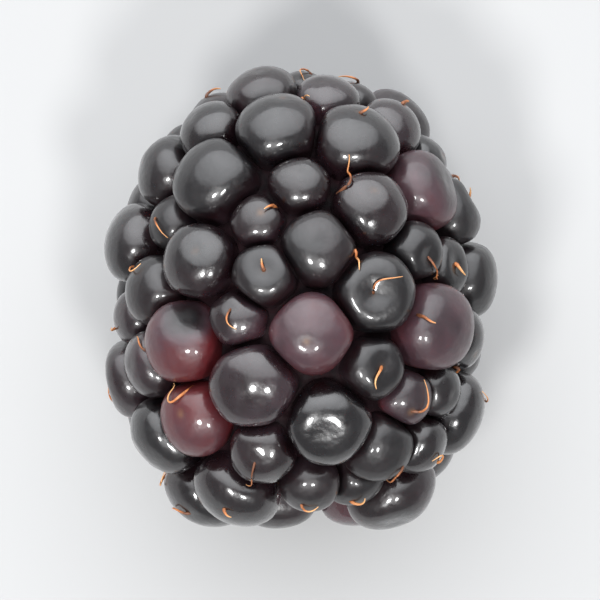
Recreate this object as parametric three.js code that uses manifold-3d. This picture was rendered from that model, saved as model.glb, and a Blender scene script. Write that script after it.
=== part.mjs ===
// A ripe bramble berry, as picked, lying on its side. Millimetres, +Z up.
// Its long axis lies close to X, with the tip at +X and the stem end at -X, and it rests on z = 0.
//
// The berry is a head of small round fruits, the drupelets, that grow on one fleshy core. Their centres
// lie on a seat, a barrel a little bowed and a little oval, where a golden-angle spiral places them and
// a few passes of crowding settle them. Each swells until it meets its neighbours, so it has a round
// dome outside and pressed flanks along the planes half way to them.
import * as THREE from "three";
import { mergeVertices } from "three/addons/utils/BufferGeometryUtils.js";
import Module from "manifold-3d";

const wasm = await Module();
wasm.setup();
const degrees = THREE.MathUtils.degToRad;

// The seat.
const SEAT_HALF_LENGTH = 10.8;
const SEAT_RADIUS = 8.15;
const TAPER = 0.07; // how much slimmer the tip end is than the middle, as a share
const SHOULDER = 0.06; // how far the outline leaves an ellipse for a barrel, as a share
const OVAL = 0.02; // wider by this share one way across, and narrower the other way
const BOW = 0.5; // how far the middle stands off the line between the ends
const STEM_ANGLE = degrees(153); // the last ring of drupelets, counted round the seat from the tip

// The drupelets.
const DRUPELET_COUNT = 94;
const DRUPELET_SIZE = 2.06; // half the distance between the centres of two middling ones
const SIZE_SPREAD = 0.25; // largest change of size either way, as a share
const TIP_SHRINK = 0.12; // how much smaller the drupelets right at the tip are, as a share
const SWELL = 1.16; // how far one would swell sideways without neighbours, in sizes
const DOME_HEIGHT = 1.1; // from the centre to the top of the dome, in sizes
const ROOT_DEPTH = 3.2; // from the centre down to the foot inside the core
const LIFT = 0.25; // how far one may stand out or sit back
const LEAN = 0.14; // how far its dome may lean off the seat's normal, as a slope
const CREASE = 0.1; // between the flanks of two neighbours
const PRESS = 8; // power of the smooth least distance: a higher one makes sharper edges
const SIDES = 12;
const RING_ANGLES = [0, 30, 56, 80, 180]; // degrees from the top of the dome to the foot
const GOLDEN_ANGLE = Math.PI * (3 - Math.sqrt(5));
const SPIRAL_JITTER = 0.6; // mm
const CROWDING_PASSES = 80;
const ELBOW_ROOM = 1.12; // distance that two want, over their sizes together
const SEED = 20311;

// The stem end: the core's blunt end stands among the last ring of drupelets, dished and pitted where
// it came off the stalk.
const SCAR_X = -9.4;
const SCAR_RADIUS = 2.6;
const SCAR_ROOT = 4; // how deep the column behind the scar runs into the core
const SCAR_RIM = 0.35; // radius of its rounded edge
const DISH_DEPTH = 0.45;
const DISH_WALL_DEPTH = 0.32; // a point half way up the dish, as a depth and a radius
const DISH_WALL_RADIUS = 1.5;
const PIT_RADIUS = 0.75;
const PIT_FLOOR_RADIUS = 0.38;
const PIT_DEPTH = 1.1;
const SCAR_SIDES = 24;

// The core, which fills the creases from below and ends flat behind the scar's edge.
const CORE_END_X = SCAR_X + 2 * SCAR_RIM;
const CORE_SIDES = 16;
const CORE_BANDS = 8;

// How it lies: rolled and tipped on to the low drupelets round its weight, each pressed a little flat.
const ROLL = degrees(89.68);
const PITCH = degrees(3.64);
const MIDDLE = new THREE.Vector3(-0.01, 0.09, 9.72);
const GROUND_SIDE = 40;
const GROUND_DEPTH = 10;

const SKIN = new THREE.MeshStandardMaterial({ color: 0x17101a, roughness: 0.2, metalness: 0 });

// Whole-number generator, so that every run draws the same numbers.
function seededDraw(seed) {
  let state = seed;
  return () => {
    state = (state * 48271) % 2147483647;
    return (2 * state) / 2147483647 - 1;
  };
}

// Distance of the seat from its axis. The angle runs from 0 at the tip to pi at the stem.
function seatAcross(angle) {
  const barrel = (Math.sin(angle) + SHOULDER * Math.sin(3 * angle)) / (1 - SHOULDER);
  return SEAT_RADIUS * barrel * (1 - TAPER * Math.cos(angle));
}

function seatPoint(angle, turn) {
  const across = seatAcross(angle);
  return new THREE.Vector3(
    SEAT_HALF_LENGTH * Math.cos(angle),
    across * Math.cos(turn) * (1 + OVAL) + BOW * Math.sin(angle) ** 2,
    across * Math.sin(turn) * (1 - OVAL),
  );
}

// A place on the seat: its point, the slope along it and round it, and the normal straight out.
function seatPlace(angle, turn) {
  const step = 1e-4;
  const slope = (da, dt) =>
    seatPoint(angle + da, turn + dt).sub(seatPoint(angle - da, turn - dt)).divideScalar(2 * step);
  const along = slope(step, 0);
  const round = slope(0, step);
  const out = along.clone().cross(round).normalize();
  return { angle, turn, centre: seatPoint(angle, turn), along, round, out };
}

// Angles that cut the seat into bands of equal area from the tip to the last ring, one a drupelet.
function bandAngles(count) {
  const steps = 2000;
  const area = [0];
  for (let i = 0; i < steps; i++) {
    const [a, b] = [i, i + 1].map((k) => (STEM_ANGLE * k) / steps);
    const [ra, rb] = [seatAcross(a), seatAcross(b)];
    area.push(area[i] + Math.hypot(rb - ra, SEAT_HALF_LENGTH * (Math.cos(a) - Math.cos(b))) * (ra + rb));
  }
  const angles = [];
  let i = 0;
  for (let n = 0; n < count; n++) {
    const wanted = (area[steps] * (n + 0.5)) / count;
    while (area[i + 1] < wanted) i++;
    angles.push((STEM_ANGLE * (i + (wanted - area[i]) / (area[i + 1] - area[i]))) / steps);
  }
  return angles;
}

// Two drupelets closer than they want push each other off, and both stay on the seat.
function crowd(drupelets) {
  const pushes = drupelets.map((one) => {
    const push = new THREE.Vector3();
    for (const other of drupelets) {
      const apart = one.centre.clone().sub(other.centre);
      const short = ELBOW_ROOM * (one.size + other.size) - apart.length();
      if (other !== one && short > 0) push.add(apart.setLength(short / 4));
    }
    return push;
  });
  drupelets.forEach((one, i) => {
    const angle = one.angle + pushes[i].dot(one.along) / one.along.lengthSq();
    const turn = one.turn + pushes[i].dot(one.round) / Math.max(one.round.lengthSq(), 1);
    const overTheTip = angle < 0 ? Math.PI : 0;
    Object.assign(one, seatPlace(Math.min(Math.abs(angle), STEM_ANGLE), turn + overTheTip));
  });
}

function placeDrupelets() {
  const draw = seededDraw(SEED);
  const drupelets = bandAngles(DRUPELET_COUNT).map((band, n) => {
    const angle = Math.min(Math.abs(band + (SPIRAL_JITTER * draw()) / SEAT_RADIUS), STEM_ANGLE);
    const turn = n * GOLDEN_ANGLE + (SPIRAL_JITTER * draw()) / seatAcross(angle);
    const nearTip = (0.5 + 0.5 * Math.cos(angle)) ** 3;
    const size = DRUPELET_SIZE * (1 + SIZE_SPREAD * draw()) * (1 - TIP_SHRINK * nearTip);
    const lean = new THREE.Vector3(draw(), draw(), draw()).multiplyScalar(LEAN);
    return { ...seatPlace(angle, turn), size, lean, lift: LIFT * draw() };
  });
  for (let pass = 0; pass < CROWDING_PASSES; pass++) crowd(drupelets);
  for (const one of drupelets) {
    one.centre.addScaledVector(one.out, one.lift);
    one.out.add(one.lean).normalize();
  }
  for (const one of drupelets) one.flanks = flanksOf(one, drupelets);
  return drupelets;
}

// What presses a drupelet: planes, each a direction and a distance from its centre. Two neighbours
// share the way between them by their sizes, and by the stem the scar's column presses too.
function flanksOf(one, drupelets) {
  const flanks = [];
  for (const other of drupelets) {
    const towards = other.centre.clone().sub(one.centre);
    const apart = towards.length();
    if (other === one || apart > 2 * SWELL * (one.size + other.size)) continue;
    const share = one.size / (one.size + other.size);
    flanks.push({ towards: towards.normalize(), distance: apart * share - CREASE / 2 });
  }
  if (one.centre.x < 0) {
    const inwards = new THREE.Vector3(0, -one.centre.y, -one.centre.z);
    flanks.push({ distance: inwards.length() - SCAR_RADIUS - CREASE, towards: inwards.normalize() });
  }
  return flanks;
}

// Distance from a drupelet's centre to its skin: the smooth least of an egg, with a low dome outside
// and a long root inside, and of the planes that press it.
function reach(one, direction) {
  const up = direction.dot(one.out);
  const side = Math.sqrt(Math.max(0, 1 - up * up));
  const height = up > 0 ? DOME_HEIGHT * one.size : ROOT_DEPTH;
  let sum = Math.hypot(side / (SWELL * one.size), up / height) ** PRESS;
  for (const { towards, distance } of one.flanks) {
    sum += (Math.max(0, direction.dot(towards)) / distance) ** PRESS;
  }
  return sum ** (-1 / PRESS);
}

// A three.js geometry with its seams and poles joined, and each point moved to where the rule puts it.
function reshape(geometry, rule) {
  geometry.deleteAttribute("normal");
  geometry.deleteAttribute("uv");
  const joined = mergeVertices(geometry, 1e-4);
  const place = joined.attributes.position;
  const point = new THREE.Vector3();
  for (let i = 0; i < place.count; i++) {
    const moved = rule(point.fromBufferAttribute(place, i));
    place.setXYZ(i, moved.x, moved.y, moved.z);
  }
  return joined;
}

function solidOf(geometry) {
  return new wasm.Manifold(
    new wasm.Mesh({
      numProp: 3,
      vertProperties: new Float32Array(geometry.attributes.position.array),
      triVerts: new Uint32Array(geometry.index.array),
    }),
  );
}

function drupeletSolid(one) {
  const rings = RING_ANGLES.map(degrees).reverse();
  const outline = rings.map((a) => new THREE.Vector2(Math.sin(a) < 1e-9 ? 0 : Math.sin(a), Math.cos(a)));
  const upright = new THREE.Quaternion().setFromUnitVectors(new THREE.Vector3(0, 1, 0), one.out);
  const ball = reshape(new THREE.LatheGeometry(outline, SIDES), (point) => {
    const direction = point.applyQuaternion(upright).normalize();
    return direction.multiplyScalar(reach(one, direction)).add(one.centre);
  });
  return solidOf(ball);
}

// The core follows the seat. Each point of a ball gives an angle from the tip and a turn.
function coreSolid() {
  const ball = reshape(new THREE.SphereGeometry(1, CORE_SIDES, CORE_BANDS), (point) => {
    const angle = Math.acos(THREE.MathUtils.clamp(point.y, -1, 1));
    const place = seatPoint(angle, Math.atan2(point.x, point.z));
    return place.setX(Math.max(place.x, CORE_END_X));
  });
  return solidOf(ball);
}

// The column behind the scar, turned about X: a rounded rim, a dish, and a pit in its middle.
function scarSolid() {
  const roundHalfWay = SCAR_RIM * (1 - Math.SQRT1_2);
  const profile = [
    [DISH_DEPTH + PIT_DEPTH, 0],
    [DISH_DEPTH + PIT_DEPTH, PIT_FLOOR_RADIUS],
    [DISH_DEPTH, PIT_RADIUS],
    [DISH_WALL_DEPTH, DISH_WALL_RADIUS],
    [0, SCAR_RADIUS - SCAR_RIM],
    [roundHalfWay, SCAR_RADIUS - roundHalfWay],
    [SCAR_RIM, SCAR_RADIUS],
    [SCAR_ROOT, SCAR_RADIUS],
    [SCAR_ROOT, 0],
  ];
  const outline = profile.map(([depth, radius]) => new THREE.Vector2(radius, SCAR_X + depth));
  const turned = new THREE.LatheGeometry(outline, SCAR_SIDES);
  return solidOf(reshape(turned, ({ x, y, z }) => new THREE.Vector3(y, x, -z)));
}

// What the berry rests on, from z = 0 down.
function groundSolid() {
  const slab = new THREE.BoxGeometry(GROUND_SIDE, GROUND_SIDE, GROUND_DEPTH);
  return solidOf(reshape(slab.translate(0, 0, -GROUND_DEPTH / 2), (point) => point));
}

const upright = wasm.Manifold.union([
  coreSolid(),
  scarSolid(),
  ...placeDrupelets().map(drupeletSolid),
]);
const lying = new THREE.Matrix4()
  .makeRotationFromEuler(new THREE.Euler(ROLL, PITCH, 0, "ZYX"))
  .setPosition(MIDDLE);
const skin = upright.transform(lying.elements).subtract(groundSolid()).getMesh();
const berry = new THREE.Mesh(
  new THREE.BufferGeometry()
    .setAttribute("position", new THREE.BufferAttribute(skin.vertProperties, 3))
    .setIndex(new THREE.BufferAttribute(skin.triVerts, 1)),
  SKIN,
);
berry.name = "berry";

export default new THREE.Group().add(berry);
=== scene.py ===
# %% [markdown]
# # A ripe bramble berry, lying on its side
#
# A bramble berry is a head of small round fruits, the drupelets, that grow on one fleshy core. Each
# swells until it meets its neighbours, so it shows a round dome with pressed flanks, and deep dark
# creases run between the domes. The skin is nearly black and very glossy, a few drupelets stay wine
# red, and dry orange-brown styles, the hairs that once caught the pollen, lie in the creases.
#
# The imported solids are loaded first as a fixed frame. They hold the berry's true size, with coarse
# drupelets. This script grows the same drupelets again by the same rule, with the same draws, only
# much finer, so every dome lies where the solid has it.

import bpy
import numpy as np
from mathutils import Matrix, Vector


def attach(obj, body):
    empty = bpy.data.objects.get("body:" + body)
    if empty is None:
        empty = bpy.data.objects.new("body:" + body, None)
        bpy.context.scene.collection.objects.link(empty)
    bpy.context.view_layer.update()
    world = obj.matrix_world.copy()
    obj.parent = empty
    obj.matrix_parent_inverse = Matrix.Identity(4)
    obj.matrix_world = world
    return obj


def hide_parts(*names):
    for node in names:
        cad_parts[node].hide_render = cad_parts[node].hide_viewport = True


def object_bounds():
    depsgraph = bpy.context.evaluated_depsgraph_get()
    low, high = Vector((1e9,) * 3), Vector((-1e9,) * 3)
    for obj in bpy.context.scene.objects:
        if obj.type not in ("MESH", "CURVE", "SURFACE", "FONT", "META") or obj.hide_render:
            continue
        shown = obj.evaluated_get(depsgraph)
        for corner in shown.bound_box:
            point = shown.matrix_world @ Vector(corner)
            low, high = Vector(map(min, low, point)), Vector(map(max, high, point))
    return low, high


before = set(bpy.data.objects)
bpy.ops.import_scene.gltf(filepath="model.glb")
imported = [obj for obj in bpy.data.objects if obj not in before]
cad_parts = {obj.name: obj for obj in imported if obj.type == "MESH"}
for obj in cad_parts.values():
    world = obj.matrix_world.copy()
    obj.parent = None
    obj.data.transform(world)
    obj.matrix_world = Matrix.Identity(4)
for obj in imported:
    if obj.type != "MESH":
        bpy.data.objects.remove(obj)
solid_low, solid_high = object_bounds()
print("nodes:", sorted(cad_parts), "size in mm:", [round(1000 * s, 2) for s in solid_high - solid_low])

# %% [markdown]
# ## The seat
#
# The centres of the drupelets lie on a seat: a barrel about the X axis, a little fuller at the
# shoulders than an ellipse, a little slimmer towards the tip, slightly oval and slightly bowed. It
# could be drawn by hand as a profile, but as a formula it also gives slopes and normals anywhere, which
# the growing below needs. All lengths are in millimetres until a finished piece is laid down.

# %% The seat's formula
SEAT_HALF_LENGTH = 10.8
SEAT_RADIUS = 8.15
TAPER = 0.07
SHOULDER = 0.06
OVAL = 0.02
BOW = 0.5
STEM_ANGLE = np.radians(153)


def seat_across(angle):
    """Distance of the seat from its axis: the sine of the angle from the tip, plus a share of the sine
    of three times it for fuller shoulders, made slimmer by the taper towards the tip."""
    barrel = (np.sin(angle) + SHOULDER * np.sin(3 * angle)) / (1 - SHOULDER)
    return SEAT_RADIUS * barrel * (1 - TAPER * np.cos(angle))


def seat_point(angle, turn):
    """A point of the seat: along the axis by the cosine of the angle, across it by seat_across in the
    direction of the turn, wider one way than the other, and bowed to +Y in the middle."""
    across = seat_across(angle)
    return np.stack([
        SEAT_HALF_LENGTH * np.cos(angle),
        across * np.cos(turn) * (1 + OVAL) + BOW * np.sin(angle) ** 2,
        across * np.sin(turn) * (1 - OVAL),
    ], axis=-1)


def unit(vectors):
    """The vectors, each divided by its length."""
    return vectors / np.linalg.norm(vectors, axis=-1, keepdims=True)


def seat_slopes(angle, turn):
    """How fast the seat's point moves with the angle and with the turn, and the normal between them."""
    step = 1e-4
    along = (seat_point(angle + step, turn) - seat_point(angle - step, turn)) / (2 * step)
    round_it = (seat_point(angle, turn + step) - seat_point(angle, turn - step)) / (2 * step)
    return along, round_it, unit(np.cross(along, round_it))


print("seat, mm:", 2 * SEAT_HALF_LENGTH, "long and", 2 * SEAT_RADIUS, "across")

# %% [markdown]
# ## Growing the drupelets
#
# Fruits on a head sit in a golden-angle spiral: each is turned about 137.5 degrees on from the last, on
# bands of equal area. That alone looks too even, so each start is nudged by a seeded draw, each
# drupelet gets a size of its own, and then they are let crowd: two that are closer than they want push
# each other off, over and over. Blender's particle system could scatter them too, but a rule worked
# out here gives the same berry on every run.

# %% Seeded draws
DRUPELET_COUNT = 94
SEED = 20311


def seeded_draws(count, seed):
    """Numbers from -1 to 1: each whole number is the last one times 48271, modulo 2 to the 31 less 1."""
    state, draws = seed, []
    for _ in range(count):
        state = state * 48271 % 2147483647
        draws.append(2 * state / 2147483647 - 1)
    return np.array(draws)


draws = seeded_draws(7 * DRUPELET_COUNT, SEED).reshape(DRUPELET_COUNT, 7)
print("first draws:", draws[0].round(3))

# %% Start on the spiral
DRUPELET_SIZE = 2.06
SIZE_SPREAD = 0.25
TIP_SHRINK = 0.12
SPIRAL_JITTER = 0.6
GOLDEN_ANGLE = np.pi * (3 - np.sqrt(5))
THIN_HOOPS = 2000


def band_angles(count):
    """Angles in the middle of bands of equal area: the area up to each angle is summed in thin hoops,
    and read backwards at equal shares of the whole."""
    edges = STEM_ANGLE * np.arange(THIN_HOOPS + 1) / THIN_HOOPS
    radius = seat_across(edges)
    slant = np.hypot(np.diff(radius), SEAT_HALF_LENGTH * np.diff(np.cos(edges)))
    area = np.concatenate([[0], np.cumsum(slant * (radius[1:] + radius[:-1]))])
    return np.interp(area[-1] * (np.arange(count) + 0.5) / count, area, edges)


nudged = band_angles(DRUPELET_COUNT) + SPIRAL_JITTER * draws[:, 0] / SEAT_RADIUS
angle = np.minimum(np.abs(nudged), STEM_ANGLE)
turn = np.arange(DRUPELET_COUNT) * GOLDEN_ANGLE + SPIRAL_JITTER * draws[:, 1] / seat_across(angle)
near_tip = (0.5 + 0.5 * np.cos(angle)) ** 3
size = DRUPELET_SIZE * (1 + SIZE_SPREAD * draws[:, 2]) * (1 - TIP_SHRINK * near_tip)
print("drupelet sizes, mm across:", (2 * size).min().round(2), "to", (2 * size).max().round(2))

# %% Let them crowd
CROWDING_PASSES = 80
ELBOW_ROOM = 1.12
PUSH_SHARE = 0.25


def crowd(angle, turn):
    """One pass: for each pair that is short of the distance it wants, each moves off by a quarter of
    the shortfall. The moves are turned into changes of angle and turn, so nothing leaves the seat."""
    centre = seat_point(angle, turn)
    along, round_it, _ = seat_slopes(angle, turn)
    apart = centre[:, None] - centre[None]
    distance = np.linalg.norm(apart, axis=-1)
    np.fill_diagonal(distance, np.inf)
    short = np.maximum(0, ELBOW_ROOM * (size[:, None] + size[None]) - distance)
    push = np.sum(apart * (short * PUSH_SHARE / distance)[..., None], axis=1)
    angle = angle + np.sum(push * along, axis=1) / np.sum(along**2, axis=1)
    turn = turn + np.sum(push * round_it, axis=1) / np.maximum(np.sum(round_it**2, axis=1), 1)
    turn = turn + np.where(angle < 0, np.pi, 0)
    return np.minimum(np.abs(angle), STEM_ANGLE), turn


for _ in range(CROWDING_PASSES):
    angle, turn = crowd(angle, turn)

LIFT = 0.25
LEAN = 0.14
normal = seat_slopes(angle, turn)[2]
centre = seat_point(angle, turn) + normal * (LIFT * draws[:, 6])[:, None]
out = unit(normal + LEAN * draws[:, 3:6])
tops = centre + out * size[:, None]
print("the drupelets reach, mm:", tops.min(0).round(2), tops.max(0).round(2))

# %% [markdown]
# ## The shape of one drupelet
#
# Without neighbours a drupelet would be an egg with a low dome outside and a long root in the core. Its
# neighbours cut it off at planes between them. Taking the least of the egg's and the planes' distances
# would leave knife-sharp edges, so a smooth least is used: add up the inverse distances, each raised
# to a power, and take the root. That rounds each edge as a full skin does. Metaballs would round them
# too, but they melt neighbours into one lump, and here each drupelet has to keep its own skin.

# %% The planes that press each drupelet
SWELL = 1.16
DOME_HEIGHT = 1.1
ROOT_DEPTH = 3.2
CREASE = 0.1
PRESS = 8
SCAR_RADIUS = 2.6

towards = centre[None] - centre[:, None]
apart = np.linalg.norm(towards, axis=-1)
np.fill_diagonal(apart, np.inf)
both_sizes = size[:, None] + size[None]
share = size[:, None] / both_sizes
flank_distance = np.where(apart <= 2 * SWELL * both_sizes, apart * share - CREASE / 2, np.inf)
flank_towards = towards / apart[..., None]

inwards = centre * [0, -1, -1]
column_distance = np.linalg.norm(inwards, axis=1) - SCAR_RADIUS - CREASE
column_distance = np.where(centre[:, 0] < 0, column_distance, np.inf)
flank_distance = np.concatenate([flank_distance, column_distance[:, None]], axis=1)
flank_towards = np.concatenate([flank_towards, unit(inwards)[:, None]], axis=1)
print("neighbours that press one drupelet, on average:", np.isfinite(flank_distance).sum(1).mean().round(1))

# %% [markdown]
# ## How it lies
#
# The berry grows about the X axis, but it lies on a table at z = 0, rolled and tipped on to the low
# drupelets round its weight. An object could be turned as a whole, but a finished piece has to sit
# unturned at the origin, so its points are turned instead. The same turn gives the other way round which
# drupelet is seen at a place in the photograph, and that is how the few red and dented ones are chosen.

# %% Lay the berry down
ROLL = np.radians(89.68)
PITCH = np.radians(3.64)
MIDDLE = np.array([-0.01, 0.09, 9.72])
FACES_UP_FROM = 1

roll_matrix = np.array([[1, 0, 0], [0, np.cos(ROLL), -np.sin(ROLL)], [0, np.sin(ROLL), np.cos(ROLL)]])
pitch_matrix = np.array([[np.cos(PITCH), 0, np.sin(PITCH)], [0, 1, 0], [-np.sin(PITCH), 0, np.cos(PITCH)]])
lying = pitch_matrix @ roll_matrix


def lay_down(points):
    """Rolled about X, then tipped about Y, then moved to the middle, in millimetres."""
    return points @ lying.T + MIDDLE


tops_seen = lay_down(tops)
faces_up = tops_seen[:, 2] > MIDDLE[2] + FACES_UP_FROM


def seen_at(along, across):
    """The drupelet whose top is closest to a place seen from above, in mm from the berry's middle:
    along towards the tip, across to the left of the picture."""
    away = np.hypot(tops_seen[:, 0] - along, tops_seen[:, 1] - across)
    return np.argmin(np.where(faces_up, away, np.inf))


print("drupelets that face up:", faces_up.sum())

# %% [markdown]
# ## No two alike
#
# A real drupelet isn't a perfect dome. Its juice has given a little here and there, so the skin has a
# few shallow flats, which carry the broad soft glints, and a slow unevenness. Near its top is the
# dimple where the style grew, and some that shrank a little have a deeper dent there. A noise texture
# could push the points about, but it would treat all of them alike. So each drupelet draws its own
# flats, waves and dimple. Apart from the dents, they change its radius by a few hundredths of its size.

# %% What makes each one different
FLATS = 3
FLAT_PRESS = 0.35
WAVES = 4
WAVE = 0.013
DENTED_SHARE = 0.13
varied = np.random.default_rng(8)


def tangents(directions):
    """Two directions square to each given one and to each other, in right-handed order."""
    helper = np.where(np.abs(directions[..., :1]) < 0.7, [1.0, 0, 0], [0, 1.0, 0])
    first = unit(np.cross(helper, directions))
    return first, np.cross(directions, first)


first, second = tangents(out)
dimple_turn = varied.uniform(0, 2 * np.pi, DRUPELET_COUNT)
dimple_slope = varied.uniform(0.12, 0.5, DRUPELET_COUNT)
dimple_side = first * np.cos(dimple_turn)[:, None] + second * np.sin(dimple_turn)[:, None]
dimple = unit(out + dimple_side * dimple_slope[:, None])
dimple_depth = varied.uniform(0.015, 0.06, DRUPELET_COUNT)
dimple_width = varied.uniform(0.14, 0.2, DRUPELET_COUNT)

dented = varied.random(DRUPELET_COUNT) < DENTED_SHARE
dimple_depth[dented] = varied.uniform(0.22, 0.34, dented.sum())
dimple_width[dented] = varied.uniform(0.32, 0.42, dented.sum())

flat_towards = unit(out[:, None] + varied.normal(0, 0.55, (DRUPELET_COUNT, FLATS, 3)))
flat_distance = varied.uniform(0.88, 1.03, (DRUPELET_COUNT, FLATS)) * size[:, None] * DOME_HEIGHT
wave_towards = varied.normal(0, 2.2, (DRUPELET_COUNT, WAVES, 3))
wave_phase = varied.uniform(0, 2 * np.pi, (DRUPELET_COUNT, WAVES))
print("dented drupelets:", dented.sum())

# %% [markdown]
# ## The marked drupelets
#
# In the photograph a burgundy pair touches near the left edge, the upper one with a dark hollow, a wine
# one sits in the middle, and plum ones lie at the right. Most of these are more satin than glossy. Two
# black ones have sunk in, and a few were pressed flat from above. All could be painted on by hand, but
# a table of places keeps them in view here: each place is in millimetres from the berry's middle, along
# towards the tip and across to the left. Ripeness runs from 0, red, to 1, black.

# %% Where they are, and how each differs
PAIR_UPPER, PAIR_LOWER = (-1.5, 6.3), (-5.8, 6.0)
WINE_MIDDLE, PLUM_UPPER_RIGHT = (-1.4, -0.6), (6.4, -7.2)
PLUM_RIGHT, PLUM_LOWER_RIGHT = (-1.3, -7.6), (-7, -6)
SUNK_LEFT, SUNK_RIGHT, FLAT_TOP = (1.1, 3.1), (2.0, -4.4), (3.6, -0.3)

RIPENESS_AT = {
    PAIR_UPPER: 0.1, PAIR_LOWER: 0.05, WINE_MIDDLE: 0.28,
    PLUM_UPPER_RIGHT: 0.3, PLUM_RIGHT: 0.38, PLUM_LOWER_RIGHT: 0.46,
}
HOLLOW_AT = {
    PAIR_UPPER: {"lean": 1.0, "depth": 0.5, "width": 0.45},
    SUNK_RIGHT: {"lean": 0.0, "depth": 0.55, "width": 0.42},
    SUNK_LEFT: {"lean": 0.3, "depth": 0.3, "width": 0.36},
}
PRESSED_AT = [PAIR_LOWER, WINE_MIDDLE, PLUM_UPPER_RIGHT, FLAT_TOP]
PRESSED_TO = 0.9
SATIN_AT = [PAIR_UPPER, WINE_MIDDLE, PLUM_UPPER_RIGHT, PLUM_RIGHT, PLUM_LOWER_RIGHT]
SATIN = 0.16
OUT_SHARE = 0.25
LATE_BELOW = 5

ripeness = np.clip(varied.normal(0.92, 0.13, DRUPELET_COUNT), 0.55, 1.05)
for place, ripe in RIPENESS_AT.items():
    ripeness[seen_at(*place)] = ripe
late = varied.choice(np.flatnonzero(~faces_up), LATE_BELOW, replace=False)
ripeness[late] = varied.uniform(0.05, 0.45, LATE_BELOW)

to_tip, to_top = lying[0], lying[2]
for place, hollow in HOLLOW_AT.items():
    k = seen_at(*place)
    dimple[k] = unit(hollow["lean"] * to_tip + to_top + OUT_SHARE * out[k])
    dimple_depth[k], dimple_width[k] = hollow["depth"], hollow["width"]
for place in PRESSED_AT:
    k = seen_at(*place)
    flat_towards[k, 0] = unit(to_top + OUT_SHARE * out[k])
    flat_distance[k, 0] = PRESSED_TO * size[k]
print("red or plum:", (ripeness < 0.5).sum(), "hollow:", len(HOLLOW_AT), "pressed:", len(PRESSED_AT))

# %% The skin's formula
LIP_HEIGHT = 0.12
LIP_AT = 1.7
LIP_SHARPNESS = 2


def reach(k, direction):
    """Distance from the centre of drupelet k to its pressed skin: the smooth least of the egg and of
    the planes to its neighbours, as in the solid, and of its own shallow flats."""
    up = direction @ out[k]
    side = np.sqrt(np.maximum(0, 1 - up**2))
    height = np.where(up > 0, DOME_HEIGHT * size[k], ROOT_DEPTH)
    near = np.isfinite(flank_distance[k])
    planes = np.maximum(0, direction @ flank_towards[k, near].T) / flank_distance[k, near]
    flats = np.maximum(0, direction @ flat_towards[k].T) / flat_distance[k]
    egg = np.hypot(side / (SWELL * size[k]), up / height)
    pressing = (planes**PRESS).sum(-1) + FLAT_PRESS * (flats ** (2 * PRESS)).sum(-1)
    return (egg**PRESS + pressing) ** (-1 / PRESS)


def off_dimple(k, direction):
    """Angle between directions and the dimple of drupelet k, in radians."""
    return np.arccos(np.clip(direction @ dimple[k], -1, 1))


def skin(k, direction):
    """The finished skin: reach, with slow waves a little in and out, less the dimple, a bell-shaped dent
    round its direction with a faint swollen lip."""
    waves = np.cos(direction @ wave_towards[k].T + wave_phase[k]).sum(-1)
    off = off_dimple(k, direction) / dimple_width[k]
    dent = np.exp(-(off**2)) - LIP_HEIGHT * np.exp(-((off - LIP_AT) ** 2) * LIP_SHARPNESS)
    return reach(k, direction) * (1 + WAVE * waves) - dimple_depth[k] * dent


print("the first drupelet's top, mm from its centre:", skin(0, out[0]).round(2))

# %% [markdown]
# ## From grids to meshes
#
# Every piece here is one or more closed shells: rings of points that run from one end point to the
# other. Blender's own spheres and tubes could be bent into these shapes, but rings from a formula give
# each point its place and its values at once. The rings are joined with four-sided faces, and each end
# is closed with a fan of triangles, so no seam or pole is left open. The last step lays every point
# down, presses flat what would be under the table, and turns millimetres into metres.

# %% Make a mesh of closed shells
def shell_faces(shells, rings, sides):
    """Faces of shells that each have one end point, their rings, and the other end point, in order."""
    ring, side = np.meshgrid(np.arange(rings - 1), np.arange(sides), indexing="ij")
    after = (side + 1) % sides
    low = ring * sides + 1
    high = low + sides
    quads = np.stack([low + side, high + side, high + after, low + after], -1).reshape(-1, 4)
    start = np.arange(sides)
    following = (start + 1) % sides
    last_ring = (rings - 1) * sides + 1
    start_fan = np.stack([np.zeros(sides, int), 1 + start, 1 + following], -1)
    end_fan = np.stack([np.full(sides, rings * sides + 1), last_ring + following, last_ring + start], -1)
    first_point = np.arange(shells)[:, None, None] * (rings * sides + 2)
    fans = np.concatenate([start_fan, end_fan])
    return (quads + first_point).reshape(-1, 4).tolist() + (fans + first_point).reshape(-1, 3).tolist()


def add_piece(name, start, rings, end, attributes, material):
    """A piece from arrays: start (shells, 3), rings (shells, rings, sides, 3), end (shells, 3). Each
    attribute is an array with a value for each ring point, (shells, rings, sides)."""
    shells, ring_count, sides, _ = rings.shape
    body = rings.reshape(shells, -1, 3)
    points = lay_down(np.concatenate([start[:, None], body, end[:, None]], axis=1).reshape(-1, 3))
    points[:, 2] = np.maximum(points[:, 2], 0)
    mesh = bpy.data.meshes.new(name)
    mesh.from_pydata((points / 1000).tolist(), [], shell_faces(shells, ring_count, sides))
    mesh.polygons.foreach_set("use_smooth", np.ones(len(mesh.polygons), bool))
    for label, values in attributes.items():
        flat = values.reshape(shells, -1)
        ends = np.concatenate([flat[:, :1], flat, flat[:, -1:]], axis=1)
        mesh.attributes.new(label, "FLOAT", "POINT").data.foreach_set("value", ends.ravel())
    mesh.materials.append(material)
    piece = bpy.data.objects.new(name, mesh)
    bpy.context.scene.collection.objects.link(piece)
    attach(piece, "root")
    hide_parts("berry")
    print(name, "has", sum(len(p.vertices) - 2 for p in mesh.polygons), "triangles")


def full_turn(count):
    """So many angles, evenly round a full circle."""
    return 2 * np.pi * np.arange(count) / count


# %% [markdown]
# ## Shared effects
#
# Two effects turn up in every material of the berry, so each is a node group. The first is a mottle: a
# slow noise in Object coordinates, whose patches have a size in millimetres, stretched to run between
# two values. The second is a grain: the same kind of noise as a height, at one scale and at five times
# it, added up and turned into a normal. It makes a glint's edge ragged and bends its shape. A painted
# texture would need a flat map of the whole skin, while noise in space needs none and shows no seam.

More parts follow.
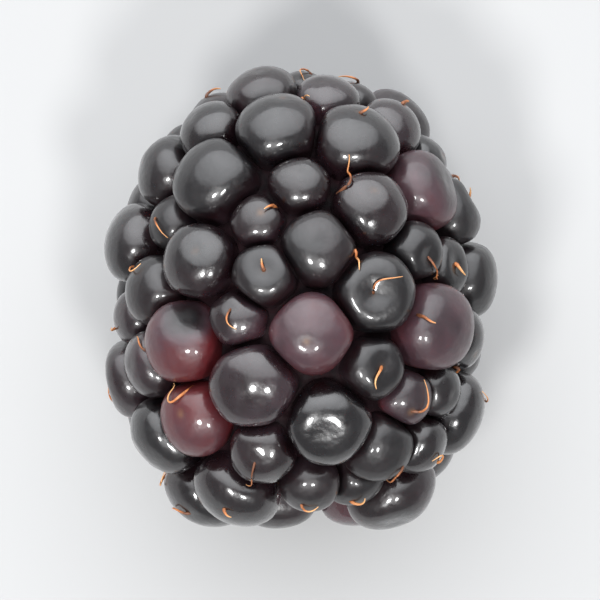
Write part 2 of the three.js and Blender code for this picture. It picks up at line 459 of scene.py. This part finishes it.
# %% Helpers for nodes
def feed(tree, socket, value):
    """Links the value to the socket if it is itself a socket, or else stores it there."""
    if isinstance(value, bpy.types.NodeSocket):
        tree.links.new(value, socket)
    else:
        socket.default_value = value


def feed_all(tree, made, **inputs):
    """Feeds a node's inputs by name, in which an underscore stands for a space."""
    for label, value in inputs.items():
        feed(tree, made.inputs[label.replace("_", " ")], value)
    return made


def node(tree, kind, **inputs):
    """A new node of that kind, with its inputs fed."""
    return feed_all(tree, tree.nodes.new(kind), **inputs)


def new_group(name, inputs, output, output_kind):
    """An empty shader group: named number inputs with their first values, and one output."""
    group = bpy.data.node_groups.new(name, "ShaderNodeTree")
    for label, value in inputs.items():
        socket = group.interface.new_socket(label, in_out="INPUT", socket_type="NodeSocketFloat")
        socket.default_value = value
    group.interface.new_socket(output, in_out="OUTPUT", socket_type=output_kind)
    return group, group.nodes.new("NodeGroupInput").outputs, group.nodes.new("NodeGroupOutput").inputs


def use_group(tree, group, **inputs):
    """A copy of the group in a material, with its inputs fed: its one output."""
    made = tree.nodes.new("ShaderNodeGroup")
    made.node_tree = group
    return feed_all(tree, made, **inputs).outputs[0]


def blend_values(tree, operation, a, b):
    """Sum, difference, product or quotient of two values, of which each is a socket or a number."""
    made = tree.nodes.new("ShaderNodeMath")
    made.operation = operation
    feed(tree, made.inputs[0], a)
    feed(tree, made.inputs[1], b)
    return made.outputs[0]


def stretch(tree, value, start, end, low=0, high=1):
    """A value that runs from low to high while the given one runs from start to end."""
    made = node(tree, "ShaderNodeMapRange", Value=value, From_Min=start, From_Max=end)
    return feed_all(tree, made, To_Min=low, To_Max=high).outputs["Result"]


def patch_noise(tree, size_mm, detail):
    """Noise whose patches are about size_mm across: Object coordinates are metres, so 1000 over it."""
    place = tree.nodes.new("ShaderNodeTexCoord").outputs["Object"]
    scale = blend_values(tree, "DIVIDE", 1000, size_mm)
    return node(tree, "ShaderNodeTexNoise", Vector=place, Scale=scale, Detail=detail).outputs["Fac"]


# %% The mottle and the grain
NOISE_LOW, NOISE_HIGH = 0.32, 0.68
METRES_IN_MM = 0.001

mottle, given, result = new_group("mottle", {"Patch mm": 1, "From": 0, "To": 1}, "Value", "NodeSocketFloat")
slow_noise = patch_noise(mottle, given["Patch mm"], 3)
spread = stretch(mottle, slow_noise, NOISE_LOW, NOISE_HIGH, given["From"], given["To"])
mottle.links.new(spread, result["Value"])

grain, given, result = new_group(
    "grain", {"Patch mm": 0.2, "Depth mm": 0.01, "Swell mm": 0}, "Normal", "NodeSocketVector")
fine = blend_values(grain, "MULTIPLY", patch_noise(grain, given["Patch mm"], 5), given["Depth mm"])
wide_patch = blend_values(grain, "MULTIPLY", given["Patch mm"], 5)
wide = blend_values(grain, "MULTIPLY", patch_noise(grain, wide_patch, 2), given["Swell mm"])
metres = blend_values(grain, "MULTIPLY", blend_values(grain, "ADD", fine, wide), METRES_IN_MM)
bump = node(grain, "ShaderNodeBump", Height=metres, Distance=1)
grain.links.new(bump.outputs["Normal"], result["Normal"])
print("groups:", [group.name for group in bpy.data.node_groups])

# %% [markdown]
# ## The skin
#
# The skin is a thin glossy film over nearly black juice. What the eye reads is mostly its reflections:
# small hard glints of the lamps and a soft sheen of the big light. A plain shiny black would look like
# glass beads, so it gets a dark base, a roughness that wanders a little, and a clear coat, and some
# drupelets are duller than others. The colour runs over a ramp from burgundy past dusty plum to black
# by how ripe the drupelet is, and it is always a step redder down in the creases, where the skin is
# thin and the sun never reached.
# In each dimple, and most in a deep dent, the colour is also pushed darker as painted shade.

# %% Helpers for colours
def read(tree, label):
    """A value that the mesh carries at each point."""
    carried = tree.nodes.new("ShaderNodeAttribute")
    carried.attribute_name = label
    return carried.outputs["Fac"]


def blend_colours(tree, share, a, b):
    """Colour a where the share is 0 and b where it is 1."""
    made = tree.nodes.new("ShaderNodeMix")
    made.data_type = "RGBA"
    for label, value in (("Factor", share), ("A", a), ("B", b)):
        feed(tree, next(s for s in made.inputs if s.name == label and s.enabled), value)
    return next(s for s in made.outputs if s.enabled)


def mottled(tree, patch_mm, low, high):
    """The mottle's value, from low to high, in patches of a size in millimetres."""
    return use_group(tree, mottle, Patch_mm=patch_mm, From=low, To=high)


def ramp(tree, value, stops):
    """Colours at places from 0 to 1, blended in between."""
    made = node(tree, "ShaderNodeValToRGB", Fac=value)
    elements = made.color_ramp.elements
    elements[0].position, elements[0].color = stops[0][0], (*stops[0][1], 1)
    elements[1].position, elements[1].color = stops[-1][0], (*stops[-1][1], 1)
    for position, colour in stops[1:-1]:
        elements.new(position).color = (*colour, 1)
    return made.outputs["Color"]


def new_material(name):
    """A material with an empty Principled BSDF: the material, its node tree and the shader."""
    material = bpy.data.materials.new(name)
    material.use_nodes = True
    tree = material.node_tree
    return material, tree, tree.nodes["Principled BSDF"]


# %% The skin's material
STYLE_MARK = (0.16, 0.075, 0.03, 1)
REDDER_IN_CREASE = -0.13
FULL_COAT = 0.9
COAT_LOST = 2.5

berry_skin, tree, shader = new_material("berry skin")
in_crease = blend_values(tree, "MULTIPLY", read(tree, "in_crease"), REDDER_IN_CREASE)
# Painted shade: the ripeness attribute read here also holds the darkening in each dimple and dent.
ripeness_and_dent_shade = blend_values(tree, "ADD", read(tree, "ripeness"), mottled(tree, 1.6, -0.1, 0.1))
juice = ramp(tree, blend_values(tree, "ADD", ripeness_and_dent_shade, in_crease), [
    (0.0, (0.068, 0.0075, 0.0095)),
    (0.3, (0.048, 0.0210, 0.0270)),
    (0.55, (0.0180, 0.0100, 0.0130)),
    (0.75, (0.0078, 0.0029, 0.0040)),
    (1.0, (0.0038, 0.0027, 0.0034)),
])
dull_here = read(tree, "dullness")
coat_lost = blend_values(tree, "MULTIPLY", dull_here, COAT_LOST)
feed_all(
    tree, shader,
    Base_Color=blend_colours(tree, read(tree, "style_mark"), juice, STYLE_MARK),
    Roughness=blend_values(tree, "ADD", dull_here, mottled(tree, 0.7, 0.18, 0.36)),
    Normal=use_group(tree, grain, Patch_mm=0.22, Depth_mm=0.011, Swell_mm=0.08),
    IOR=1.5,
    Coat_Weight=blend_values(tree, "SUBTRACT", FULL_COAT, coat_lost),
    Coat_Roughness=0.07,
    Subsurface_Weight=0.08,
    Subsurface_Scale=0.001,
    Subsurface_Radius=(1, 0.15, 0.12),
)
print("skin ready")

# %% [markdown]
# ## The drupelets
#
# Each drupelet is a dome on a grid: rings from its top down to the root, packed closest where the skin
# turns down into the crease. The rings are directions, and the skin's formula says how far each
# reaches. Spheres cut by one another would give sharp seams and ragged triangles there. Each point also
# carries what the skin's material reads: how ripe it is, a little darker on the side that had the sun,
# with painted shade darkening it in its dimple and most in a dent, how deep in a crease it lies, how
# dull it is, and the brown mark where a style stood.

# %% Grow the domes
SIDES = 44
MARK_RADIUS = 0.17
CREASE_FROM = 0.62
CREASE_SPAN = 0.5
SUN_TINT = 0.2
DULLEST = 0.2
polar = np.radians(np.concatenate([np.linspace(4, 60, 12), np.linspace(65, 105, 10), [125, 150]]))
around = full_turn(SIDES)


def local_directions(axis):
    """Directions on the grid about an axis: its cosine part along it, its sine part round it."""
    a, b = tangents(axis)
    flat = np.cos(around)[:, None] * a + np.sin(around)[:, None] * b
    return np.cos(polar)[:, None, None] * axis + np.sin(polar)[:, None, None] * flat


def bell(distance, width):
    """One in the middle, falling off to nothing over a few widths."""
    return np.exp(-((distance / width) ** 2))


mark_strength = varied.uniform(0, 0.6, DRUPELET_COUNT) * (varied.random(DRUPELET_COUNT) < 0.5)
domes, dome_tops, feet, marks, creases, painted_dent_shade = [], [], [], [], [], []
for k in range(DRUPELET_COUNT):
    direction = local_directions(out[k])
    radius = skin(k, direction)
    off = off_dimple(k, direction)
    domes.append(centre[k] + direction * radius[..., None])
    dome_tops.append(centre[k] + out[k] * skin(k, out[k]))
    feet.append(centre[k] - out[k] * ROOT_DEPTH)
    marks.append(mark_strength[k] * bell(off * size[k], MARK_RADIUS))
    # Painted shade: the colour is pushed darker round the dimple, the more the deeper it is.
    painted_dent_shade.append(2 * dimple_depth[k] * bell(off, 1.2 * dimple_width[k]))
    height = radius * (direction @ out[k]) / size[k]
    creases.append(np.clip((CREASE_FROM - height) / CREASE_SPAN, 0, 1))
domes = np.array(domes)
print("dome grid:", domes.shape)

# %% What each point carries
dullness = DULLEST * varied.random(DRUPELET_COUNT) ** 1.5
for place in SATIN_AT:
    dullness[seen_at(*place)] = SATIN
sunny = unit(out + varied.normal(0, 0.5, (DRUPELET_COUNT, 3)))
sun = np.einsum("krsi,ki->krs", unit(domes - centre[:, None, None]), sunny)
add_piece(
    "drupelets", np.array(dome_tops), domes, np.array(feet),
    {
        # The ripeness attribute also carries the painted shade of the dimples and dents.
        "ripeness": ripeness[:, None, None] + SUN_TINT * (sun - 0.6) + np.array(painted_dent_shade),
        "style_mark": np.array(marks),
        "in_crease": np.array(creases),
        "dullness": np.broadcast_to(dullness[:, None, None], sun.shape),
    },
    berry_skin,
)

# %% [markdown]
# ## The core between them
#
# Deep in the creases the fleshy core shows as a wet floor. It follows the seat, and ends behind
# the scar. The creases could be left open, but then light would fall through them, and the berry would
# look hollow. The floor is coloured near-black over a dark wine-red, which is painted shade, so the
# creases stay deep, and a dull finish keeps it from glinting.

# %% The core
SCAR_X = -9.4
SCAR_RIM = 0.35
CORE_END_X = SCAR_X + 2 * SCAR_RIM
CORE_RINGS, CORE_SIDES = 60, 96
CORE_POLE = 0.03

core_flesh_as_crease_shade, tree, shader = new_material("core flesh as crease shade")
feed_all(
    tree, shader,
    # Painted shade: the near-black base colour stands for the shade deep in the creases.
    Base_Color=ramp(tree, mottled(tree, 0.8, 0, 1), [
        (0.0, (0.003, 0.0013, 0.002)),
        (1.0, (0.013, 0.0033, 0.005)),
    ]),
    Roughness=mottled(tree, 0.5, 0.6, 0.85),
    Normal=use_group(tree, grain, Patch_mm=0.4, Depth_mm=0.05),
    Specular_IOR_Level=0.12,
)

core_angle, core_turn = np.meshgrid(
    np.linspace(CORE_POLE, np.pi - CORE_POLE, CORE_RINGS), full_turn(CORE_SIDES), indexing="ij")
core_points = seat_point(core_angle, core_turn)
core_points[..., 0] = np.maximum(core_points[..., 0], CORE_END_X)
core_tip = np.array([[SEAT_HALF_LENGTH, 0, 0]])
core_end = np.array([[CORE_END_X, 0, 0]])
add_piece("core", core_tip, core_points[None], core_end, {}, core_flesh_as_crease_shade)

# %% [markdown]
# ## The scar at the stem end
#
# The berry was picked, so its core ends in a pale blunt scar among the last ring of drupelets, dished,
# with a small pit where the vessels of the stalk broke off, and stained by juice at its rim. It could be
# sculpted, but a profile turned about X keeps it in step with the solid. The rim and the pit wander a
# little, and the face has fine spokes of torn fibre.

# %% The scar's material
PALE_PITH, DARK_PITH = (0.70, 0.66, 0.48, 1), (0.46, 0.40, 0.25, 1)
PALE_FIBRE, DARK_FIBRE = (0.30, 0.22, 0.12, 1), (0.07, 0.04, 0.022, 1)
JUICE_STAIN = (0.11, 0.018, 0.022, 1)
STAIN_FROM, STAIN_TO = 0.55, 0.95
PIT_FROM, PIT_TO = 0.34, 0.2

scar_flesh, tree, shader = new_material("scar flesh")
from_middle = read(tree, "from_middle")
pith = blend_colours(tree, mottled(tree, 0.4, 0, 1), DARK_PITH, PALE_PITH)
at_rim = stretch(tree, from_middle, STAIN_FROM, STAIN_TO)
soaked = blend_values(tree, "MULTIPLY", at_rim, mottled(tree, 1.1, 0.35, 1.1))
stained = blend_colours(tree, soaked, pith, JUICE_STAIN)
pit_floor = blend_colours(tree, mottled(tree, 0.12, 0, 1), DARK_FIBRE, PALE_FIBRE)
feed_all(
    tree, shader,
    Base_Color=blend_colours(tree, stretch(tree, from_middle, PIT_FROM, PIT_TO), stained, pit_floor),
    Roughness=mottled(tree, 0.5, 0.5, 0.8),
    Normal=use_group(tree, grain, Patch_mm=0.15, Depth_mm=0.05, Swell_mm=0.1),
    Subsurface_Weight=0.15,
    Subsurface_Scale=0.001,
)

# %% Turn the scar
DISH_DEPTH = 0.45
PIT_RADIUS = 0.75
PIT_DEPTH = 0.22
PIT_REACH = 1.1
SCAR_ROOT = 4
SCAR_RINGS, SCAR_SIDES = 64, 120
FACE_MIDDLE, FACE_SPAN = 1.7, 0.75

profile = np.array([
    [DISH_DEPTH + PIT_DEPTH, 0.12],
    [DISH_DEPTH + PIT_DEPTH, PIT_RADIUS * 0.35],
    [DISH_DEPTH + PIT_DEPTH * 0.85, PIT_RADIUS * 0.62],
    [DISH_DEPTH + PIT_DEPTH * 0.2, PIT_RADIUS * 0.85],
    [DISH_DEPTH * 0.97, PIT_RADIUS * 1.1],
    [DISH_DEPTH * 0.85, PIT_RADIUS * 1.6],
    [DISH_DEPTH * 0.55, SCAR_RADIUS * 0.68],
    [DISH_DEPTH * 0.15, SCAR_RADIUS * 0.82],
    [0.0, SCAR_RADIUS * 0.9],
    [SCAR_RIM * 0.3, SCAR_RADIUS * 0.97],
    [SCAR_RIM, SCAR_RADIUS],
    [SCAR_RIM * 3, SCAR_RADIUS],
    [SCAR_ROOT, SCAR_RADIUS * 0.98],
])
steps = np.linspace(0, len(profile) - 1, SCAR_RINGS)
depth_in, ring_radius = (np.interp(steps, np.arange(len(profile)), column) for column in profile.T)


def ripple(turn, *parts):
    """Sum of cosines round the scar: each part is a number of lobes, their height and their phase."""
    return sum(height * np.cos(lobes * turn + phase) for lobes, height, phase in parts)


scar_turn = full_turn(SCAR_SIDES)
spokes = ripple(scar_turn, (17, 0.05, 1), (29, 0.03, 0), (7, 0.03, 0))
rim_wander = ripple(scar_turn, (3, 0.025, 2), (5, 0.015, 0))
pit_wander = ripple(scar_turn, (2, 0.13, 0), (5, 0.07, 1))
on_face = bell(ring_radius - FACE_MIDDLE, FACE_SPAN) * (depth_in < 1)
near_pit = np.exp(-((ring_radius / PIT_REACH) ** 4))

scar_x = SCAR_X + depth_in[:, None] + on_face[:, None] * spokes
scar_r = ring_radius[:, None] * (1 + rim_wander + near_pit[:, None] * pit_wander)
scar_points = np.stack([scar_x, scar_r * np.sin(scar_turn), scar_r * np.cos(scar_turn)], axis=-1)
share_out = np.broadcast_to((ring_radius / SCAR_RADIUS)[:, None], scar_r.shape)
pit_middle = np.array([[SCAR_X + DISH_DEPTH + PIT_DEPTH, 0, 0]])
scar_end = np.array([[SCAR_X + SCAR_ROOT, 0, 0]])
add_piece(
    "stem_scar", pit_middle, scar_points[None], scar_end,
    {"from_middle": share_out[None]},
    scar_flesh,
)

# %% [markdown]
# ## The dry styles
#
# A style is what is left of the flower: a curved, tapered hair, half a millimetre to three millimetres
# long and a tenth to a fifth of one thick. Some still stand in the dimple of their drupelet, some have
# broken off short, and some have slipped down a flank into the crease. Hair curves would be lost on
# export, so each is a mesh tube. Its path starts along the skin with a bend of its own and is then let
# settle: points too far off the skin sink, points inside it rise, and smoothing keeps the hair stiff,
# so that it bridges the creases.

# %% The styles' material
style_husk, tree, shader = new_material("style husk")
husk_tone = blend_values(tree, "ADD", read(tree, "along"), mottled(tree, 0.5, -0.2, 0.2))
feed_all(
    tree, shader,
    Base_Color=ramp(tree, husk_tone, [
        (0.0, (0.12, 0.04, 0.015)),
        (0.35, (0.42, 0.14, 0.04)),
        (1.0, (0.64, 0.34, 0.14)),
    ]),
    Roughness=mottled(tree, 0.3, 0.4, 0.65),
    Normal=use_group(tree, grain, Patch_mm=0.12, Depth_mm=0.02),
)

# %% Draw their lengths and bends
STYLE_SHARE = 0.7
FALLEN_SHARE = 0.5
BROKEN_SHARE = 0.4
SHORTEST_WHOLE = 1.1
LENGTH_SPREAD = 1.7

has_style = np.flatnonzero(varied.random(DRUPELET_COUNT) < STYLE_SHARE)
count = len(has_style)
fallen = varied.random(count) < FALLEN_SHARE
broken_off = varied.random(count) < BROKEN_SHARE
stump = varied.uniform(0.5, 1.0, count)
whole = SHORTEST_WHOLE + LENGTH_SPREAD * varied.random(count) ** 1.5
length = np.where(broken_off, stump, whole)
bend = varied.choice([-1, 1], count) * varied.uniform(0.3, 1.4, count)
heading = varied.uniform(0, 2 * np.pi, count)
thickness = varied.uniform(0.052, 0.08, count) + 0.014 * broken_off
end_lift = np.where(broken_off, 0.2, varied.uniform(0.0, 0.5, count) ** 2)
husk_shade = varied.uniform(-0.3, 0.3, count)
kink_phase = varied.uniform(0, 2 * np.pi, count)
print("styles:", count, "fallen:", fallen.sum(), "broken off:", broken_off.sum())


# %% Start them on the skin
STEPS = 18
ROOT_SUNK = 0.1
KINK = 0.55
KINKS_PER_MM = 3.2


def outwards(points):
    """Straight out of the berry: the normal of the ellipsoid through the point."""
    return unit(points / np.array([SEAT_HALF_LENGTH, SEAT_RADIUS, SEAT_RADIUS]) ** 2)


down_flank = unit(0.45 * out + dimple_side)
starts = np.where(fallen[:, None], down_flank[has_style], dimple[has_style])
root = np.array([centre[k] + start * (skin(k, start) - ROOT_SUNK) for k, start in zip(has_style, starts)])
along = np.linspace(0, 1, STEPS)
travel = along * length[:, None]
way = heading[:, None] + bend[:, None] * travel + KINK * np.sin(KINKS_PER_MM * travel + kink_phase[:, None])
a, b = tangents(outwards(root))
step = np.cos(way)[..., None] * a[:, None] + np.sin(way)[..., None] * b[:, None]
path = root[:, None] + np.cumsum(step * np.gradient(travel, axis=1)[..., None], axis=1)
path[:, 0] = root

# %% Let them settle
SETTLING_PASSES = 14
FARTHEST_CENTRE = 5
GAP = 0.06
ARCH = 0.12
LEAST_GAP = 0.05
MOST_SUNK, MOST_RAISED = 0.25, 0.3
STIFFNESS = 0.5
ABOVE_TABLE = 0.4


def height_over_skin(points):
    """How far points lie outside the nearest drupelet: the least over all of distance less skin."""
    least = np.full(points.shape[:-1], np.inf)
    for k in range(DRUPELET_COUNT):
        away = points - centre[k]
        distance = np.linalg.norm(away, axis=-1)
        close = distance < FARTHEST_CENTRE
        height = distance[close] - skin(k, away[close] / distance[close][:, None])
        least[close] = np.minimum(least[close], height)
    return least


wanted = GAP + ARCH * np.sin(np.pi * along) + end_lift[:, None] * along**2
for _ in range(SETTLING_PASSES):
    move = np.clip(wanted - height_over_skin(path), -MOST_SUNK, MOST_RAISED)
    path[:, 1:] += (outwards(path) * move[..., None])[:, 1:]
    path[:, 1:-1] += STIFFNESS * ((path[:, 2:] + path[:, :-2]) / 2 - path[:, 1:-1])
rise = np.maximum(0, LEAST_GAP - height_over_skin(path[:, 2:]))
path[:, 2:] += outwards(path[:, 2:]) * rise[..., None]
clear_of_table = lay_down(path)[..., 2].min(axis=1) > ABOVE_TABLE
print("styles:", clear_of_table.sum(), "of", count, "clear of the table")

# %% Turn the paths into tapered hairs
HAIR_SIDES = 7
TIP_LOSS = 0.7
FOOT_GAIN = 0.5
FOOT_CAP, TIP_CAP = 0.02, 0.03


def hairs(path, radius):
    """Rings round each path: two directions square to the path, turned through a full circle, times
    the radius, which is given for each step."""
    tangent = unit(np.gradient(path, axis=1))
    a, b = tangents(-tangent)
    circle = full_turn(HAIR_SIDES)
    ring = np.cos(circle)[:, None] * a[:, :, None] + np.sin(circle)[:, None] * b[:, :, None]
    return path[:, :, None] + ring * radius[..., None, None]


path = path[clear_of_table]
taper = (1 - TIP_LOSS * along**1.3) * (1 + FOOT_GAIN * np.exp(-along * 12))
rings = hairs(path, thickness[clear_of_table][:, None] * taper)
husk_here = np.broadcast_to((along + husk_shade[clear_of_table, None])[..., None], rings.shape[:3])
blunt_start = path[:, 0] - FOOT_CAP * outwards(path[:, 0])
blunt_end = path[:, -1] + TIP_CAP * unit(path[:, -1] - path[:, -2])
add_piece("styles", blunt_start, rings, blunt_end, {"along": husk_here}, style_husk)

# %% [markdown]
# ## The table and the lamps
#
# The berry lies on a plain pale table. In the photograph each dome has a broad grey sheen over its upper
# half, which is the reflection of something wide and white at the top of the picture, and low on it two
# small hard glints. So two small round lamps stand opposite for the glints. A single sun lamp would
# light it too, but its glint is one hard dot.

# %% The table
TABLE_REACH = 3

table_paint, tree, shader = new_material("table paint")
feed_all(tree, shader, Base_Color=(0.34, 0.34, 0.34, 1), Roughness=0.6)
table_mesh = bpy.data.meshes.new("table")
corners = [(x * TABLE_REACH, y * TABLE_REACH, 0) for x, y in ((-1, -1), (1, -1), (1, 1), (-1, 1))]
table_mesh.from_pydata(corners, [], [(0, 1, 2, 3)])
table_mesh.materials.append(table_paint)
table = bpy.data.objects.new("table", table_mesh)
bpy.context.scene.collection.objects.link(table)
print("table, metres across:", 2 * TABLE_REACH)


# %% The lamps
LAMP_WIDTH = 0.11


def add_lamp(name, place, power):
    """A round area lamp at a place in metres, aimed at the berry."""
    lamp_data = bpy.data.lights.new(name, "AREA")
    lamp_data.shape = "DISK"
    lamp_data.size = LAMP_WIDTH
    lamp_data.energy = power
    lamp = bpy.data.objects.new(name, lamp_data)
    lamp.location = place
    aim = table.location - lamp.location
    lamp.rotation_mode = "QUATERNION"
    lamp.rotation_quaternion = aim.to_track_quat("-Z", "Y")
    bpy.context.scene.collection.objects.link(lamp)


add_lamp("left_glint", (-0.22, 0.15, 0.5), 2.2)
add_lamp("right_glint", (-0.26, -0.12, 0.5), 1.9)
print("lamps:", len(bpy.data.lights), "metres across:", LAMP_WIDTH)

# %% [markdown]
# ## The white wall
#
# The sheen needs a light that is wide, soft at its edge and far off. A square area lamp would show its
# corners on every dome. So the world is dim and even, with a bright wall on one side that is worked out
# from the direction alone: how far it points towards the wall, taken through a soft step, with the
# middle of the wall a little brighter.

# %% The world's light
WALL_TOWARDS = (0.84, 0.08, 0.54)
WALL_LIGHT = 2.3
WALL_MIDDLE_LIGHT = 1.7
ROOM_LIGHT = 0.4
EDGE_FROM, EDGE_TO = 0.45, 0.62
MIDDLE_FROM = 0.6
COOL_WHITE = (0.95, 0.97, 1, 1)

world = bpy.data.worlds.new("studio")
world.use_nodes = True
tree = world.node_tree
facing = tree.nodes.new("ShaderNodeVectorMath")
facing.operation = "DOT_PRODUCT"
feed(tree, facing.inputs[0], tree.nodes.new("ShaderNodeTexCoord").outputs["Generated"])
feed(tree, facing.inputs[1], WALL_TOWARDS)
towards_wall = facing.outputs["Value"]
edge = stretch(tree, towards_wall, EDGE_FROM, EDGE_TO, ROOM_LIGHT, WALL_LIGHT)
edge.node.interpolation_type = "SMOOTHSTEP"
middle = stretch(tree, towards_wall, MIDDLE_FROM, 1, 0, WALL_MIDDLE_LIGHT)
glow = blend_values(tree, "ADD", edge, middle)
feed_all(tree, tree.nodes["Background"], Color=COOL_WHITE, Strength=glow)
bpy.context.scene.world = world
bpy.context.scene.view_settings.view_transform = "Standard"
print("wall's light:", WALL_LIGHT, "to", WALL_LIGHT + WALL_MIDDLE_LIGHT, "room's light:", ROOM_LIGHT)

# %% [markdown]
# ## The camera
#
# The photograph was taken straight down, so the camera looks straight down too, turned so that the
# berry's tip points to the top of the picture. A short lens near the berry would show more of its sides.
# A long lens from far off keeps the perspective as flat as the photograph's.

# %% Place the camera
LENS = 300
SENSOR = 36
FRAME_MM = 32.5

camera_data = bpy.data.cameras.new("camera")
camera_data.lens = LENS
camera_data.sensor_width = SENSOR
camera_data.clip_end = 10
camera = bpy.data.objects.new("camera", camera_data)
middle_height = (solid_low.z + solid_high.z) / 2
camera.location = (0, 0, middle_height + FRAME_MM / 1000 * LENS / SENSOR)
camera.rotation_euler = (0, 0, -np.pi / 2)
bpy.context.scene.collection.objects.link(camera)
bpy.context.scene.camera = camera
print("camera's height, metres:", round(camera.location.z, 3))
